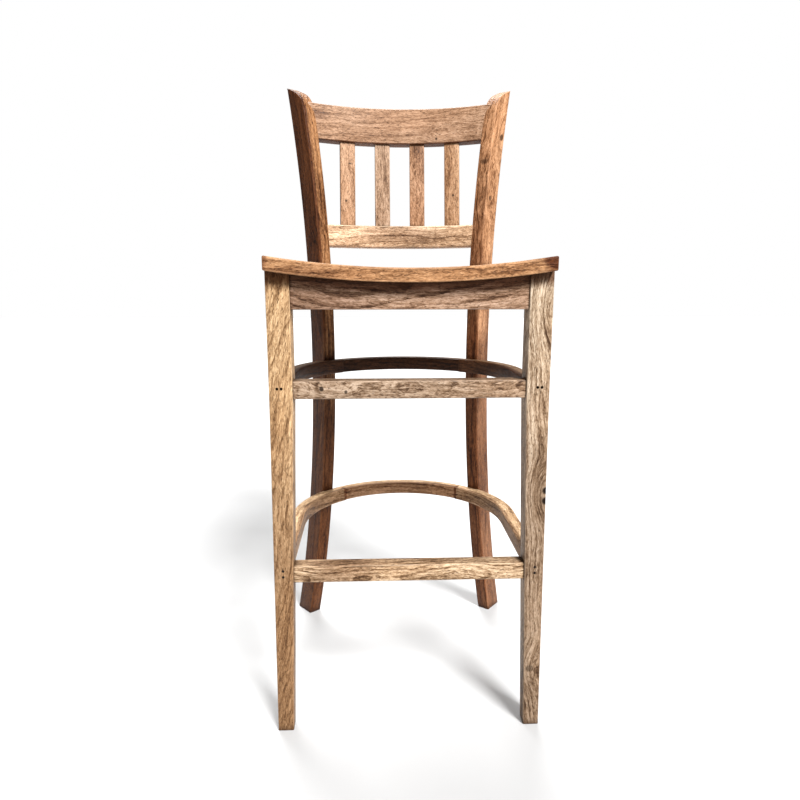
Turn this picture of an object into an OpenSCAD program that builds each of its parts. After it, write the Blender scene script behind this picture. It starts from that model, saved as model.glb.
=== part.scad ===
// Wooden bar stool with a curved back, a saddle seat and two hoop stretchers.
// Millimetres, +Z up, the sitter faces -Y. While a piece is drawn, y = 0 is the front
// face of the front legs; placed() then moves it so that the origin lies on the floor
// under the middle of the stool. Left and right are as seen from the front.

/* [Part to show] */

/* [Seat] */
// Width of the seat along its front edge
seat_width = 428; // [424:1:432]
// Width of the seat along its rear edge
seat_rear_width = 369; // [367:1:370]
// Thickness of the seat board
seat_thick = 21; // [18:0.5:23]
// Height of the seat above the floor at its side edges
seat_height = 775; // [772:1:778]
// How far the middle of the seat dips below its side edges
seat_dip = 17; // [12:1:18]
// How far the seat stands out in front of the legs
seat_overhang = 20; // [12:1:24]

/* [Front legs] */
// Inner face of a leg, from the middle of the stool, above the taper
leg_inner = 178.3; // [177:0.1:180]
// Outer face of a leg, from the middle of the stool, above the taper
leg_outer = 214; // [213:0.5:216]
// Inner face of a leg at the floor
foot_inner = 192.9; // [188:0.1:195]
// Outer face of a leg at the floor
foot_outer = 218.8; // [216:0.1:221]
// Depth of a leg above the taper
leg_depth = 38.5; // [37.5:0.5:40]
// Depth of a leg at the floor
foot_depth = 25; // [22:0.5:30]
// Height where the taper starts
taper_height = 560; // [520:5:560]

/* [Back posts] */
// Full height of the posts
post_height = 1114; // [1105:1:1125]
// Thickness of the board a post is sawn from
post_thick = 27; // [25:0.5:29]
// Width of a post
post_width = 45; // [43:0.5:47]
// Turn of a post about its upright axis
post_turn = 39.1; // [38.5:0.1:39.5]
// Radius of the backward bow of a post
post_bow = 2227; // [2200:1:2260]

/* [Back rest] */
// Radius of the curve of both back rails, seen from above
rail_radius = 550; // [530:5:600]
// Thickness of both back rails
rail_thick = 24; // [22:0.5:26]
// Width of a slat
slat_width = 30; // [26:0.5:34]
// Thickness of a slat
slat_thick = 12; // [10:0.5:14]

/* [Stretchers] */
// Height of both front stretchers
stretcher_height = 28; // [26:0.5:29]
// Lower edge of the upper front stretcher
upper_stretcher_z = 562; // [562:1:564]
// Lower edge of the footrest stretcher
footrest_z = 263; // [262:1:264]

/* [Hoops] */
// Outer radius of the hoops
hoop_radius = 213; // [212.5:0.1:213.5]
// Thickness of the hoop side pieces
hoop_thick = 24; // [22:0.5:25]
// Height of the hoop side pieces
hoop_height = 26; // [24:0.5:27]

/* [Hidden] */
$fn = 96;
fit_gap = 0.1;
// Reach of the shapes that cut away everything on one side of a face
far = 600;

// Seat
seat_rear_y = 368;
seat_blank_height = 200;
seat_corner = 4;
seat_radius = (pow(seat_width / 2, 2) + pow(seat_dip, 2)) / (2 * seat_dip);
seat_axis_z = seat_height - seat_dip + seat_radius;

// Front legs and what joins them
set_back = 4;
upper_stretcher_depth = 28.5;
footrest_depth = 27.5;
stretcher_edge = 2;
stretcher_tenon = [12, 18];
upper_tenon_reach = 205;
footrest_tenon_reach = 206;

// Aprons
apron_bottom = 697;
apron_blank_height = 100;
front_apron_thick = 22;
side_apron_thick = 20;
side_apron_blank_length = 450;
rear_apron_y = 355;
rear_apron_thick = 20;
apron_tenon_z = apron_bottom + 6;
apron_tenon_height = 32;
apron_tenon_thick = 8;
front_apron_tenon_reach = 197;
side_apron_front = [196.2, leg_depth];
side_apron_tenon = 14;
side_apron_stub = 8;
side_apron_stub_thick = 7;
rear_apron_stub = 8;

// Back posts: a post is drawn flat as (distance back, height) and turned about Z
post_plane = -103.6;
post_vertex = 377.6;
post_vertex_z = 583;
post_top_radius = 60;
post_top_slope = 22.9;
post_top_z = post_height - post_top_radius / cos(post_top_slope);
post_axis = post_vertex + post_bow;
inner_face = post_plane - post_thick / 2;

// Back rest
crest_bottom = 1009;
crest_height = 69;
crest_lean = 9.3;
crest_edge = 8;
lower_rail_bottom = 805;
lower_rail_height = 43;
lower_rail_lean = 4.8;
crest_middle = crest_bottom + crest_height / 2;
lower_rail_middle = lower_rail_bottom + lower_rail_height / 2;
rail_tenon_thick = 9;
rail_tenon_shoulder = 10;
rail_tenon = 12;
slat_offsets = [-105, -35, 35, 105];
slat_tenon = 10;
slat_edge = 2;

// Hoops
upper_hoop_z = 570;
lower_hoop_z = 290;
hoop_housing = 1.5;
hoop_inner = hoop_radius - hoop_thick;
hoop_middle = hoop_radius - hoop_thick / 2;
back_piece_trim = 1;
back_piece_height = hoop_height - 1;
lap_start = 38;
lap_end = 50;
lap_gap = 0.12;

// Fasteners
nail_spots = [[195, 579], [201.5, 579], [202, 285], [202, 275]];
nail_length = 20;
nail_radius = 1.25;
nail_head_radius = 2.2;
nail_head = 1;
screw_radius = 2;
screw_head_radius = 4;
screw_head = 2.5;
screw_point = 4;
slot_width = 1;
slot_depth = 1;
access_radius = 4.6;
access_length = 60;
hoop_screw_length = 42;
hoop_screw_sink = 1.5;
dowel_radius = 4;
dowel_in_leg = 12;
dowel_in_hoop = 22;

// Corner blocks
block_bottom = 706;
block_height = 30;
block_middle = block_bottom + block_height / 2;
front_block_apron = [124, 160];
front_block_side = [62, 94];
rear_block_apron = [124, 88];
rear_block_side = [328, 296];
seat_screw_sink = 8;
seat_screw_length = 44;
front_seat_screw = [160, 58];
rear_seat_screw = [118, 337];
block_screw_into_apron = 14;
front_screw_in_block = 16;
rear_screw_in_block = 14;
rear_side_screw_in_block = 12;
front_block_screw_x = 140;
rear_block_screw_x = 106;
front_block_screw_y = 72;
rear_block_screw_y = 318;

side_skew = atan((side_apron_front.x - post_front_middle(block_middle).x)
    / (post_front_middle(block_middle).y - side_apron_front.y));
front_apron_back = set_back + front_apron_thick;

// Depth of the whole stool, used to centre it
post_foot_y = to_stool([inner_face, post_rear(0)]).y;
centre_y = (post_foot_y - seat_overhang) / 2;

pale_wood = [0.80, 0.66, 0.48];
tan_wood = [0.68, 0.50, 0.34];
brown_wood = [0.50, 0.34, 0.23];
steel = [0.45, 0.44, 0.43];

// ---- where things are ----

// Distance back of the front and rear faces of a post at height z
function post_front(z) =
    post_axis - sqrt(pow(post_bow + post_width / 2, 2) - pow(z - post_vertex_z, 2));
function post_rear(z) =
    post_axis - sqrt(pow(post_bow - post_width / 2, 2) - pow(z - post_vertex_z, 2));

// A point of the turned post frame, seen in the frame of the stool
function to_stool(p) = [
    p.x * cos(post_turn) + p.y * sin(post_turn),
    p.y * cos(post_turn) - p.x * sin(post_turn)
];

// Middle of the front face and inner front corner of the right post at height z
function post_front_middle(z) = to_stool([post_plane, post_front(z)]);
function post_inner_corner(z) = to_stool([inner_face, post_front(z)]);

// Centre of the round of a hoop, so that it sinks a little into both posts
function hoop_centre(z) =
    post_front_middle(z).y
    - sqrt(pow(hoop_radius - hoop_housing, 2) - pow(post_front_middle(z).x, 2));

// Direction of the middle of a post from the centre of a hoop, from straight back
function hoop_screw_angle(z) =
    asin(post_front_middle(z).x / (hoop_radius - hoop_housing));

// Rear face of a front leg at height z
function leg_back(z) =
    z > taper_height ? leg_depth : foot_depth + (leg_depth - foot_depth) * z / taper_height;

// Inner face of the right side apron at depth y
function side_apron_inner(y) =
    side_apron_front.x - (y - side_apron_front.y) * tan(side_skew)
    - side_apron_thick / 2 / cos(side_skew);

// How far a rail of the back rest bulges back at a distance x from its middle
function rail_bulge(x) = sqrt(pow(rail_radius, 2) - x * x);

// Front face of a rail at the middle of the stool, its ends lying on the post corners
function rail_front(z) =
    post_inner_corner(z).y + rail_radius - rail_bulge(post_inner_corner(z).x);

// Middle of the thickness of a rail at distance x, at height z on a rail of middle height
function rail_middle(x, z, rail_z, lean) =
    rail_front(rail_z) - rail_radius + rail_bulge(x) + rail_thick / 2
    + (z - rail_z) * tan(lean);

// ---- shared shapes ----

module placed() {
    translate([0, -centre_y, 0])
        children();
}

module left_of() {
    mirror([1, 0, 0])
        children();
}

module both_sides() {
    children();
    left_of()
        children();
}

// Rectangle with rounded corners, lower left corner at the origin
module eased_rectangle(size, radius) {
    translate([radius, 0])
        square([size.x - 2 * radius, size.y]);
    translate([0, radius])
        square([size.x, size.y - 2 * radius]);
    for (x = [radius, size.x - radius])
        for (y = [radius, size.y - radius])
            translate([x, y])
                circle(r = radius);
}

// Everything above the underside of the saddle seat
module above_underside() {
    translate([0, far, seat_axis_z])
        rotate([90, 0, 0])
            cylinder(r = seat_radius + seat_thick, h = 2 * far, $fn = 360);
}

// The room between the inner faces of the two front legs
module between_legs() {
    translate([0, far / 2, 0])
        rotate([90, 0, 0])
            linear_extrude(height = far)
                polygon([
                    [-foot_inner, 0], [foot_inner, 0],
                    [leg_inner, taper_height], [leg_inner, far * 2],
                    [-leg_inner, far * 2], [-leg_inner, taper_height]
                ]);
}

// Turns the frame of the right post into the frame of the stool
module post_frame() {
    rotate([0, 0, -post_turn])
        children();
}

// Everything outside the inner face of the right post, moved out by a depth
module beyond_inner_face(depth = 0) {
    post_frame()
        translate([inner_face + depth, -far, -far])
            cube([far, 3 * far, 4 * far]);
}

// Everything behind the front face of the right post
module behind_post_front() {
    post_frame()
        translate([-far, post_axis, post_vertex_z])
            rotate([90, 0, 90])
                cylinder(r = post_bow + post_width / 2, h = 2 * far, $fn = 360);
}

// Rail curved in plan, its front face at y = 0 in the middle, leaning back
module curved_rail(z, height, thick, lean, edge = 0) {
    slack = (rail_thick - thick) / 2;
    translate([0, rail_front(z), z])
        rotate([-lean, 0, 0])
            translate([0, slack - rail_radius, -height / 2])
                difference() {
                    rail_arc(rail_radius + thick, height);
                    translate([0, 0, -1])
                        cylinder(r = rail_radius, h = height + 2, $fn = 360);
                    if (edge > 0)
                        rail_front_round(height, edge);
                }
}

// The part of a disc that a curved rail is cut from
module rail_arc(radius, height) {
    intersection() {
        cylinder(r = radius, h = height, $fn = 360);
        translate([-far / 2, 0, 0])
            cube([far, far * 2, height]);
    }
}

// What the rounding of the upper front edge of a curved rail takes away
module rail_front_round(height, edge) {
    rotate_extrude($fn = 360)
        difference() {
            translate([rail_radius - 1, height - edge])
                square([edge + 1, edge + 1]);
            translate([rail_radius + edge, height - edge])
                circle(r = edge);
        }
}

// A curved rail cut to length between the posts, with a tenon at each end
module tenoned_rail(z, height, lean, edge) {
    difference() {
        curved_rail(z, height, rail_thick, lean, edge);
        both_sides()
            beyond_inner_face();
    }
    rail_tenons(z, height, lean, 0);
}

module rail_tenons(z, height, lean, gap) {
    difference() {
        curved_rail(z, height - 2 * rail_tenon_shoulder + 2 * gap,
            rail_tenon_thick + 2 * gap, lean);
        both_sides()
            beyond_inner_face(rail_tenon + gap);
    }
}

// ---- fasteners ----

// Countersunk slotted wood screw, head at the origin, pointing along +Z
module screw(length) {
    difference() {
        screw_body(length, 0);
        translate([-screw_head_radius, -slot_width / 2, -1])
            cube([2 * screw_head_radius, slot_width, slot_depth + 1]);
    }
}

module screw_body(length, gap) {
    rotate_extrude()
        polygon([
            [0, 0],
            [screw_head_radius + gap, 0],
            [screw_radius + gap, screw_head + gap],
            [screw_radius + gap, length - screw_point + gap],
            [0, length + gap]
        ]);
}

// Hole for a screw, open on the side of its head
module screw_hole(length) {
    screw_body(length, fit_gap);
    translate([0, 0, -access_length])
        cylinder(r = access_radius, h = access_length + fit_gap);
}

// Screw lying level, pointing along the plan angle
module level(position, angle) {
    translate(position)
        rotate([0, 90, angle])
            children();
}

// Nail driven from the front, its head flush with the face of the leg
module nail(gap = 0) {
    rotate([-90, 0, 0])
        rotate_extrude()
            polygon([
                [0, -gap],
                [nail_head_radius + gap, -gap],
                [nail_head_radius + gap, nail_head],
                [nail_radius + gap, nail_head],
                [nail_radius + gap, nail_length - 3 * nail_radius],
                [0, nail_length + gap]
            ]);
}

module right_nails(gap = 0) {
    for (spot = nail_spots)
        translate([spot.x, 0, spot.y])
            nail(gap);
}

module hoop_screw_places(z) {
    head = hoop_inner + hoop_screw_sink;
    angle = hoop_screw_angle(z);
    translate([0, hoop_centre(z), 0])
        level([head * sin(angle), head * cos(angle), z], 90 - angle)
            children();
}

module hoop_dowel(z, gap = 0) {
    translate([hoop_middle, leg_back(z) - dowel_in_leg - gap, z])
        rotate([-90, 0, 0])
            cylinder(r = dowel_radius + gap, h = dowel_in_leg + dowel_in_hoop + 2 * gap);
}

// ---- front legs ----

module leg_blank() {
    intersection() {
        translate([0, far / 2, 0])
            rotate([90, 0, 0])
                linear_extrude(height = far)
                    polygon([
                        [foot_inner, 0], [foot_outer, 0],
                        [leg_outer, taper_height], [leg_outer, seat_height],
                        [leg_inner, seat_height], [leg_inner, taper_height]
                    ]);
        rotate([90, 0, 90])
            linear_extrude(height = far)
                polygon([
                    [0, 0], [foot_depth, 0],
                    [leg_depth, taper_height], [leg_depth, seat_height],
                    [0, seat_height]
                ]);
    }
}

module right_leg() {
    difference() {
        leg_blank();
        above_underside();
        stretcher_tenon_bar(upper_stretcher_z, upper_stretcher_depth, upper_tenon_reach, fit_gap);
        stretcher_tenon_bar(footrest_z, footrest_depth, footrest_tenon_reach, fit_gap);
        front_apron_tenon_bar(fit_gap);
        side_apron_front_tenon(fit_gap);
        hoop_dowel(upper_hoop_z, fit_gap);
        hoop_dowel(lower_hoop_z, fit_gap);
        right_nails(fit_gap);
    }
}

module front_right_leg() {
    color(pale_wood)
        placed()
            right_leg();
}

module front_left_leg() {
    color(pale_wood)
        placed()
            left_of()
                right_leg();
}

// ---- front stretchers ----

module stretcher_tenon_bar(z, depth, reach, gap = 0) {
    width = stretcher_tenon.x + 2 * gap;
    height = stretcher_tenon.y + 2 * gap;
    translate([
        -reach - gap,
        set_back + (depth - width) / 2,
        z + (stretcher_height - height) / 2
    ])
        cube([2 * (reach + gap), width, height]);
}

module stretcher(z, depth, reach) {
    difference() {
        union() {
            intersection() {
                translate([-foot_inner, set_back, z])
                    rotate([90, 0, 90])
                        linear_extrude(height = 2 * foot_inner)
                            eased_rectangle([depth, stretcher_height], stretcher_edge);
                between_legs();
            }
            stretcher_tenon_bar(z, depth, reach);
        }
        both_sides()
            right_nails(fit_gap);
    }
}

module upper_front_stretcher() {
    color(tan_wood)
        placed()
            stretcher(upper_stretcher_z, upper_stretcher_depth, upper_tenon_reach);
}

module footrest_stretcher() {
    color(tan_wood)
        placed()
            stretcher(footrest_z, footrest_depth, footrest_tenon_reach);
}

module stretcher_nails() {
    color(steel)
        placed()
            both_sides()
                right_nails();
}

// ---- seat ----

// Seat seen from above
module seat_outline() {
    front = seat_width / 2;
    rear = seat_rear_width / 2;
    r = seat_corner;
    polygon([
        [r - front, -seat_overhang], [front - r, -seat_overhang],
        [front, r - seat_overhang], [rear, seat_rear_y],
        [-rear, seat_rear_y], [-front, r - seat_overhang]
    ]);
    for (side = [-1, 1])
        translate([side * (front - r), r - seat_overhang])
            circle(r = r);
}

module seat_blank() {
    intersection() {
        translate([0, far, seat_axis_z])
            rotate([90, 0, 0])
                linear_extrude(height = 2 * far)
                    difference() {
                        circle(r = seat_radius + seat_thick, $fn = 720);
                        circle(r = seat_radius, $fn = 720);
                    }
        translate([0, 0, seat_height - seat_blank_height / 2])
            linear_extrude(height = seat_blank_height)
                seat_outline();
    }
}

module seat() {
    color(tan_wood)
        placed()
            difference() {
                seat_blank();
                both_sides()
                    post_board(fit_gap);
                seat_screw_places()
                    screw_hole(seat_screw_length);
            }
}

// ---- aprons ----

module front_apron_tenon_bar(gap = 0) {
    thick = apron_tenon_thick + 2 * gap;
    translate([
        -front_apron_tenon_reach - gap,
        set_back + (front_apron_thick - thick) / 2,
        apron_tenon_z - gap
    ])
        cube([
            2 * (front_apron_tenon_reach + gap),
            thick,
            apron_tenon_height + 2 * gap
        ]);
}

module front_apron() {
    color(tan_wood)
        placed()
            difference() {
                union() {
                    intersection() {
                        translate([-leg_inner, set_back, apron_bottom])
                            cube([2 * leg_inner, front_apron_thick, apron_blank_height]);
                        between_legs();
                    }
                    front_apron_tenon_bar();
                }
                above_underside();
                block_screw_places()
                    screw_hole($screw_length);
            }
}

// Frame of the right side apron: its middle line runs back along +Y
module side_apron_frame() {
    translate([side_apron_front.x, side_apron_front.y, 0])
        rotate([0, 0, side_skew])
            children();
}

module side_apron_bar(front, length, thick, z, height) {
    side_apron_frame()
        translate([-thick / 2, front, z])
            cube([thick, length, height]);
}

module side_apron_front_tenon(gap = 0) {
    side_apron_bar(-side_apron_tenon - gap, side_apron_tenon * 2,
        apron_tenon_thick + 2 * gap, apron_tenon_z - gap, apron_tenon_height + 2 * gap);
}

// Length of the middle line of the side apron, from leg to post
function side_apron_length(z) =
    norm(post_front_middle(z) - side_apron_front);

module side_apron_rear_tenon(gap = 0) {
    length = side_apron_length(block_middle) + side_apron_stub + gap;
    side_apron_bar(length - 2 * side_apron_stub - side_apron_thick,
        2 * side_apron_stub + side_apron_thick,
        side_apron_stub_thick + 2 * gap, apron_tenon_z - gap, apron_tenon_height + 2 * gap);
}

module right_apron() {
    difference() {
        union() {
            difference() {
                side_apron_bar(-side_apron_thick, side_apron_blank_length,
                    side_apron_thick, apron_bottom, apron_blank_height);
                behind_post_front();
                translate([0, leg_depth - far, 0])
                    cube([far, far, far * 2]);
            }
            side_apron_front_tenon();
            side_apron_rear_tenon();
        }
        above_underside();
        right_block_screw_places()
            screw_hole($screw_length);
    }
}

module right_side_apron() {
    color(brown_wood)
        placed()
            right_apron();
}

module left_side_apron() {
    color(brown_wood)
        placed()
            left_of()
                right_apron();
}

// A bar across the back of the seat that ends a depth inside both posts
module rear_apron_bar(thick, z, height, depth) {
    difference() {
        translate([-leg_inner, rear_apron_y + (rear_apron_thick - thick) / 2, z])
            cube([2 * leg_inner, thick, height]);
        both_sides()
            beyond_inner_face(depth);
    }
}

module rear_apron_tenon_bar(gap = 0) {
    rear_apron_bar(apron_tenon_thick + 2 * gap, apron_tenon_z - gap,
        apron_tenon_height + 2 * gap, rear_apron_stub + gap);
}

module rear_apron() {
    color(brown_wood)
        placed()
            difference() {
                union() {
                    rear_apron_bar(rear_apron_thick, apron_bottom, apron_blank_height, 0);
                    rear_apron_tenon_bar();
                }
                above_underside();
                block_screw_places()
                    screw_hole($screw_length);
            }
}

// ---- corner blocks ----

module front_block_outline() {
    polygon([
        [front_block_apron[0], front_apron_back],
        [front_block_apron[1], front_apron_back],
        [side_apron_inner(front_block_side[0]), front_block_side[0]],
        [side_apron_inner(front_block_side[1]), front_block_side[1]]
    ]);
}

module rear_block_outline() {
    polygon([
        [rear_block_apron[0], rear_apron_y],
        [rear_block_apron[1], rear_apron_y],
        [side_apron_inner(rear_block_side[1]), rear_block_side[1]],
        [side_apron_inner(rear_block_side[0]), rear_block_side[0]]
    ]);
}

module right_corner_blocks(front) {
    difference() {
        translate([0, 0, block_bottom])
            linear_extrude(height = block_height) {
                if (front)
                    front_block_outline();
                else
                    rear_block_outline();
            }
        right_block_screw_places()
            screw_hole($screw_length);
        right_seat_screw_places()
            screw_hole(seat_screw_length);
    }
}

// A screw through a corner block into an apron: where it meets the face of the apron,
// its plan angle, and how much of the block it passes through
module block_screw_place(meets, angle, in_block) {
    $screw_length = in_block + block_screw_into_apron;
    head = meets - in_block * [cos(angle), sin(angle)];
    level([head.x, head.y, block_middle], angle)
        children();
}

module right_block_screw_places() {
    front_y = front_block_screw_y;
    rear_y = rear_block_screw_y;
    block_screw_place([front_block_screw_x, front_apron_back], -90, front_screw_in_block)
        children();
    block_screw_place([side_apron_inner(front_y), front_y], side_skew, front_screw_in_block)
        children();
    block_screw_place([rear_block_screw_x, rear_apron_y], 90, rear_screw_in_block)
        children();
    block_screw_place([side_apron_inner(rear_y), rear_y], side_skew, rear_side_screw_in_block)
        children();
}

module block_screw_places() {
    both_sides()
        right_block_screw_places()
            children();
}

module right_seat_screw_places() {
    for (place = [front_seat_screw, rear_seat_screw])
        translate([place.x, place.y, block_bottom + seat_screw_sink])
            children();
}

module seat_screw_places() {
    both_sides()
        right_seat_screw_places()
            children();
}

module front_right_corner_block() {
    color(pale_wood)
        placed()
            right_corner_blocks(true);
}

module front_left_corner_block() {
    color(pale_wood)
        placed()
            left_of()
                right_corner_blocks(true);
}

module rear_right_corner_block() {
    color(pale_wood)
        placed()
            right_corner_blocks(false);
}

module rear_left_corner_block() {
    color(pale_wood)
        placed()
            left_of()
                right_corner_blocks(false);
}

module block_screws() {
    color(steel)
        placed()
            block_screw_places()
                screw($screw_length);
}

module seat_screws() {
    color(steel)
        placed()
            seat_screw_places()
                screw(seat_screw_length);
}

// ---- back posts ----

// Side view of a post: a bowed band with a sloping, rounded top
module post_profile(gap = 0) {
    intersection() {
        translate([post_axis, post_vertex_z])
            difference() {
                circle(r = post_bow + post_width / 2 + gap, $fn = 720);
                circle(r = post_bow - post_width / 2 - gap, $fn = 720);
            }
        post_ends();
    }
}

// Limits of the side view at the floor and at the shaped top
module post_ends() {
    top_y = post_axis
        - sqrt(pow(post_bow + post_width / 2 - post_top_radius, 2)
            - pow(post_top_z - post_vertex_z, 2));
    translate([post_vertex / 2, 0])
        square([post_vertex, post_top_z]);
    translate([top_y, post_top_z]) {
        circle(r = post_top_radius);
        rotate(post_top_slope)
            translate([0, -post_top_radius])
                square([post_top_radius * 2, post_top_radius * 2]);
    }
}

module post_board(gap = 0) {
    post_frame()
        translate([post_plane - post_thick / 2 - gap, 0, 0])
            rotate([90, 0, 90])
                linear_extrude(height = post_thick + 2 * gap)
                    post_profile(gap);
}

module hoop_housing_cut(z) {
    translate([0, hoop_centre(z), z - hoop_height / 2])
        cylinder(r = hoop_radius, h = hoop_height, $fn = 360);
}

module right_post() {
    difference() {
        post_board();
        hoop_housing_cut(upper_hoop_z);
        hoop_housing_cut(lower_hoop_z);
        side_apron_rear_tenon(fit_gap);
        rear_apron_tenon_bar(fit_gap);
        crest_tenons(fit_gap);
        lower_rail_tenons(fit_gap);
        for (z = [upper_hoop_z, lower_hoop_z])
            hoop_screw_places(z)
                screw_hole(hoop_screw_length);
    }
}

module right_back_post() {
    color(brown_wood)
        placed()
            right_post();
}

module left_back_post() {
    color(brown_wood)
        placed()
            left_of()
                right_post();
}

// ---- back rest ----

module crest_tenons(gap) {
    rail_tenons(crest_middle, crest_height, crest_lean, gap);
}

module lower_rail_tenons(gap) {
    rail_tenons(lower_rail_middle, lower_rail_height, lower_rail_lean, gap);
}

module crest_rail() {
    color(tan_wood)
        placed()
            difference() {
                tenoned_rail(crest_middle, crest_height, crest_lean, crest_edge);
                slats(fit_gap);
            }
}

module lower_back_rail() {
    color(tan_wood)
        placed()
            difference() {
                tenoned_rail(lower_rail_middle, lower_rail_height, lower_rail_lean, 0);
                slats(fit_gap);
            }
}

// Slat at distance x from the middle, housed at both ends in the rails
module slat(x, gap = 0) {
    top = crest_bottom;
    foot = lower_rail_bottom + lower_rail_height;
    top_y = rail_middle(x, top, crest_middle, crest_lean);
    foot_y = rail_middle(x, foot, lower_rail_middle, lower_rail_lean);
    lean = atan((top_y - foot_y) / (top - foot));
    length = (top - foot) / cos(lean) + 2 * slat_tenon + 2 * gap;
    width = slat_width + 2 * gap;
    thick = slat_thick + 2 * gap;
    translate([x, (top_y + foot_y) / 2, (top + foot) / 2])
        rotate([-lean, 0, -asin(x / rail_radius)])
            translate([-width / 2, -thick / 2, -length / 2])
                linear_extrude(height = length)
                    eased_rectangle([width, thick], slat_edge);
}

module slats(gap) {
    for (x = slat_offsets)
        slat(x, gap);
}

module back_slat_1() {
    color(tan_wood)
        placed()
            slat(slat_offsets[0]);
}

module back_slat_2() {
    color(tan_wood)
        placed()
            slat(slat_offsets[1]);
}

module back_slat_3() {
    color(tan_wood)
        placed()
            slat(slat_offsets[2]);
}

module back_slat_4() {
    color(tan_wood)
        placed()
            slat(slat_offsets[3]);
}

// ---- hoops ----

// Part of a flat ring between two angles, measured from straight back towards the right
module ring_sector(inner, outer, from, to) {
    reach = 2 * outer;
    intersection() {
        difference() {
            circle(r = outer, $fn = 360);
            circle(r = inner, $fn = 360);
        }
        polygon([
            [0, 0],
            [reach * sin(from), reach * cos(from)],
            [reach * sin((from + to) / 2), reach * cos((from + to) / 2)],
            [reach * sin(to), reach * cos(to)]
        ]);
    }
}

// Straight part, quarter of the ring and the tongue that makes the inner half of the lap,
// seen from above with the centre of the ring at the origin
module hoop_right_outline(straight) {
    difference() {
        union() {
            translate([hoop_inner, -straight])
                square([hoop_thick, straight]);
            ring_sector(hoop_inner, hoop_radius, lap_start + lap_gap, 90);
        }
        ring_sector(hoop_middle, hoop_radius + 1, 0, lap_end);
    }
}

module hoop_right(z) {
    straight = hoop_centre(z) - leg_back(z) + hoop_height / 2;
    difference() {
        translate([0, hoop_centre(z), z - hoop_height / 2])
            linear_extrude(height = hoop_height)
                hoop_right_outline(straight);
        leg_blank();
        hoop_dowel(z, fit_gap);
        hoop_screw_places(z)
            screw_hole(hoop_screw_length);
    }
}

// Back piece, with the tongue that makes the outer half of the lap at each end
module hoop_back_outline() {
    outer = hoop_radius - back_piece_trim;
    difference() {
        ring_sector(hoop_inner + back_piece_trim, outer, lap_gap - lap_end, lap_end - lap_gap);
        ring_sector(0, hoop_middle, lap_start, 90);
        ring_sector(0, hoop_middle, -90, -lap_start);
    }
}

module hoop_back(z) {
    difference() {
        translate([0, hoop_centre(z), z - back_piece_height / 2])
            linear_extrude(height = back_piece_height)
                hoop_back_outline();
        both_sides()
            hoop_screw_places(z)
                screw_hole(hoop_screw_length);
    }
}

module upper_hoop_back() {
    color(brown_wood)
        placed()
            hoop_back(upper_hoop_z);
}

module upper_hoop_right() {
    color(tan_wood)
        placed()
            hoop_right(upper_hoop_z);
}

module upper_hoop_left() {
    color(tan_wood)
        placed()
            left_of()
                hoop_right(upper_hoop_z);
}

module lower_hoop_back() {
    color(brown_wood)
        placed()
            hoop_back(lower_hoop_z);
}

module lower_hoop_right() {
    color(tan_wood)
        placed()
            hoop_right(lower_hoop_z);
}

module lower_hoop_left() {
    color(tan_wood)
        placed()
            left_of()
                hoop_right(lower_hoop_z);
}

module hoop_screws() {
    color(steel)
        placed()
            both_sides()
                for (z = [upper_hoop_z, lower_hoop_z])
                    hoop_screw_places(z)
                        screw(hoop_screw_length);
}

module hoop_dowels() {
    color(pale_wood)
        placed()
            both_sides()
                for (z = [upper_hoop_z, lower_hoop_z])
                    hoop_dowel(z);
}

// ---- parts ----

seat();
front_left_leg();
front_right_leg();
left_back_post();
right_back_post();
front_apron();
rear_apron();
left_side_apron();
right_side_apron();
front_left_corner_block();
front_right_corner_block();
rear_left_corner_block();
rear_right_corner_block();
upper_front_stretcher();
footrest_stretcher();
upper_hoop_back();
upper_hoop_left();
upper_hoop_right();
lower_hoop_back();
lower_hoop_left();
lower_hoop_right();
crest_rail();
lower_back_rail();
back_slat_1();
back_slat_2();
back_slat_3();
back_slat_4();
stretcher_nails();
hoop_screws();
hoop_dowels();
block_screws();
seat_screws();
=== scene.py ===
"""Looks of a wooden bar stool: eased boards with their own grain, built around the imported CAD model."""
import math
from dataclasses import dataclass, field

import bmesh
import bpy
from mathutils import Euler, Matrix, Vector


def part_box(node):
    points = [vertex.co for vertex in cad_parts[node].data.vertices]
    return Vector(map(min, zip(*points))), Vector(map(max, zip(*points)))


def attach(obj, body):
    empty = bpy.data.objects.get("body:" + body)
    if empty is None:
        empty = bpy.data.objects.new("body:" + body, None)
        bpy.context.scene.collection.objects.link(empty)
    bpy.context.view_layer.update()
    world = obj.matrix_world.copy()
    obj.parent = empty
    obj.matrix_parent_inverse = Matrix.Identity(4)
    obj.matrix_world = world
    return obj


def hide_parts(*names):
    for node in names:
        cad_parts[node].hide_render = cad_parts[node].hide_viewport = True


MM = 0.001

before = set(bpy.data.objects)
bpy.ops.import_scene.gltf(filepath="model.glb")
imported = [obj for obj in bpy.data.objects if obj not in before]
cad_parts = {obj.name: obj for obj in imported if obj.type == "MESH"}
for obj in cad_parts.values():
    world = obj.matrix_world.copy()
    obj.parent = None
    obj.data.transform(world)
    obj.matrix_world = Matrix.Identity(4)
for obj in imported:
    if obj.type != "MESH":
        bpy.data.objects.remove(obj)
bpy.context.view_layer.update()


# ---- sizes shared with the CAD model, in metres ----

SEAT_LOW, SEAT_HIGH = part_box("seat")
LEG_LOW, LEG_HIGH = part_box("front_right_leg")
# The CAD model is drawn with the front face of the front legs at y = 0
FRONT = LEG_LOW.y

POST_TURN = math.radians(39.1)
POST_PLANE = -103.6 * MM
POST_THICK = 27 * MM
POST_WIDTH = 45 * MM
POST_VERTEX = 377.6 * MM
POST_VERTEX_Z = 583 * MM
POST_BOW = 2227 * MM
POST_AXIS = POST_VERTEX + POST_BOW
POST_TOP_RADIUS = 60 * MM
POST_TOP_SLOPE = math.radians(22.9)
POST_HEIGHT = 1114 * MM

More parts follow.
